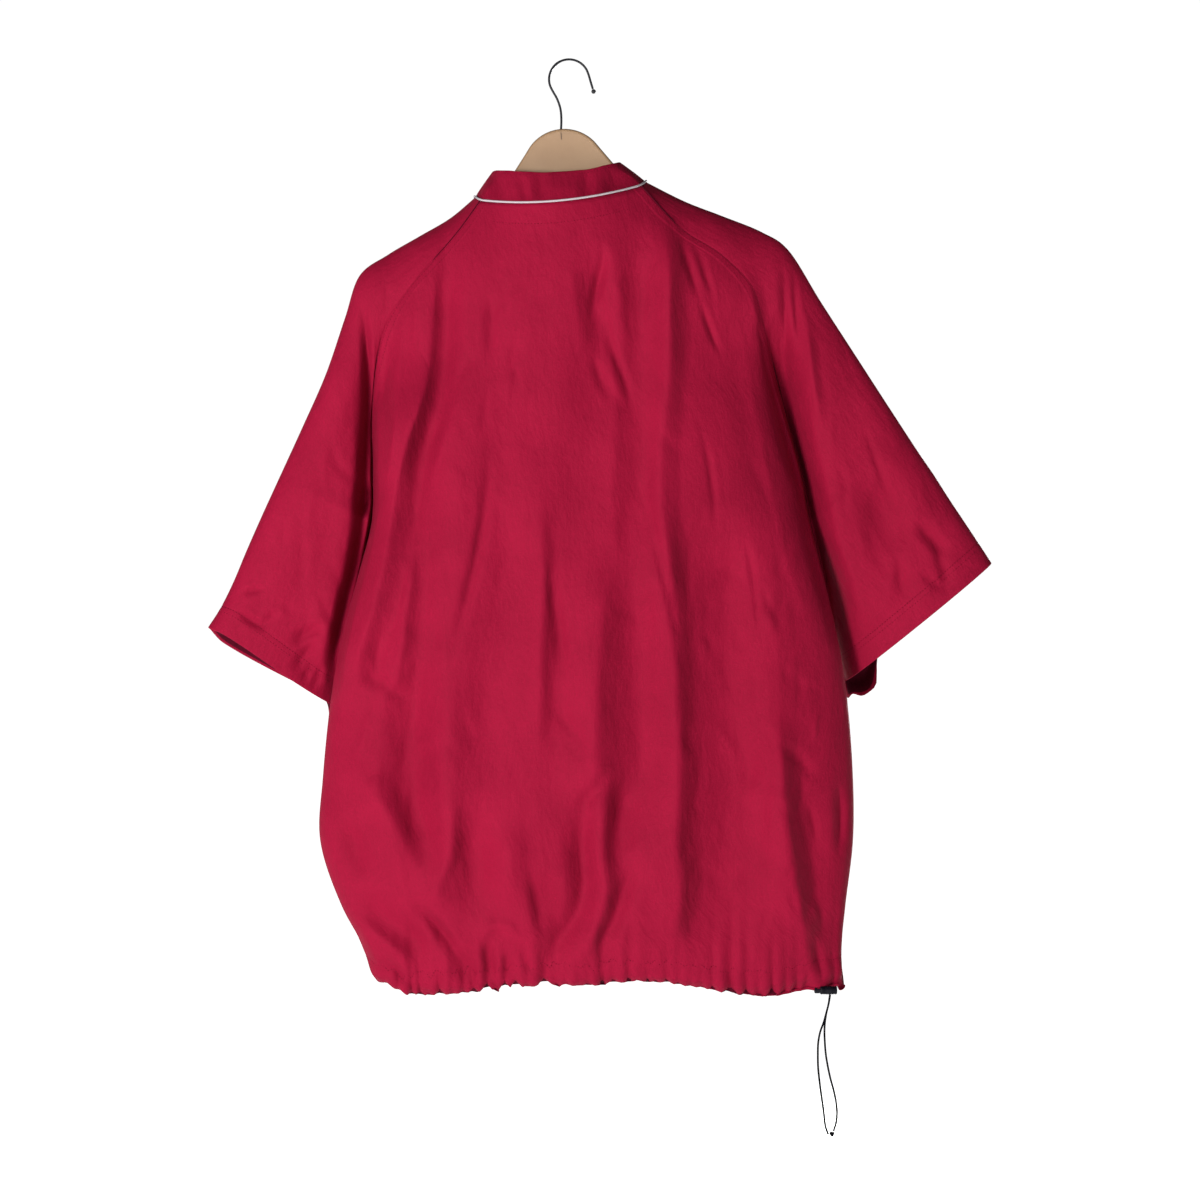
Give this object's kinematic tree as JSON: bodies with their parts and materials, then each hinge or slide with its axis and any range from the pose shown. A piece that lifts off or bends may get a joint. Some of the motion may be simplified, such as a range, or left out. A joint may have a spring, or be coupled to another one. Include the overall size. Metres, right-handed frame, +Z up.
{
  "type": "short-sleeved anorak pullover on a wooden hanger",
  "caption": "Short-sleeved raglan windproof pullover with a stand collar, neck piping and a hem drawcord with cord lock, hung on a flat wooden hanger with a wire hook.",
  "frame": {"origin": "inside top of the hanger's hook, where a rail carries it", "axes": "+Z up, -Y towards the garment's front, +Y towards its back, +X towards the wearer's left"},
  "size_m": [0.7435, 0.151, 1.0192],
  "materials": {
    "cloth": "matte woven microfibre",
    "piping": "woven, off-white",
    "wood": "pale beech, thin varnish",
    "wire": "black satin",
    "rubber": "matte black",
    "plastic": "satin black",
    "cord": "braided, black"
  },
  "bodies": {
    "root": {"back_panel": "cloth", "front_panel": "cloth", "sleeve_left": "cloth", "sleeve_right": "cloth", "collar": "cloth", "collar_piping": "piping", "hanger_body": "wood", "hanger_hook": "wire", "hook_cap": "rubber", "cord_lock_barrel": "plastic", "cord_lock_button": "plastic", "drawcord_left": "cord", "drawcord_right": "cord", "drawcord_knot": "cord"}
  },
  "joints": []
}
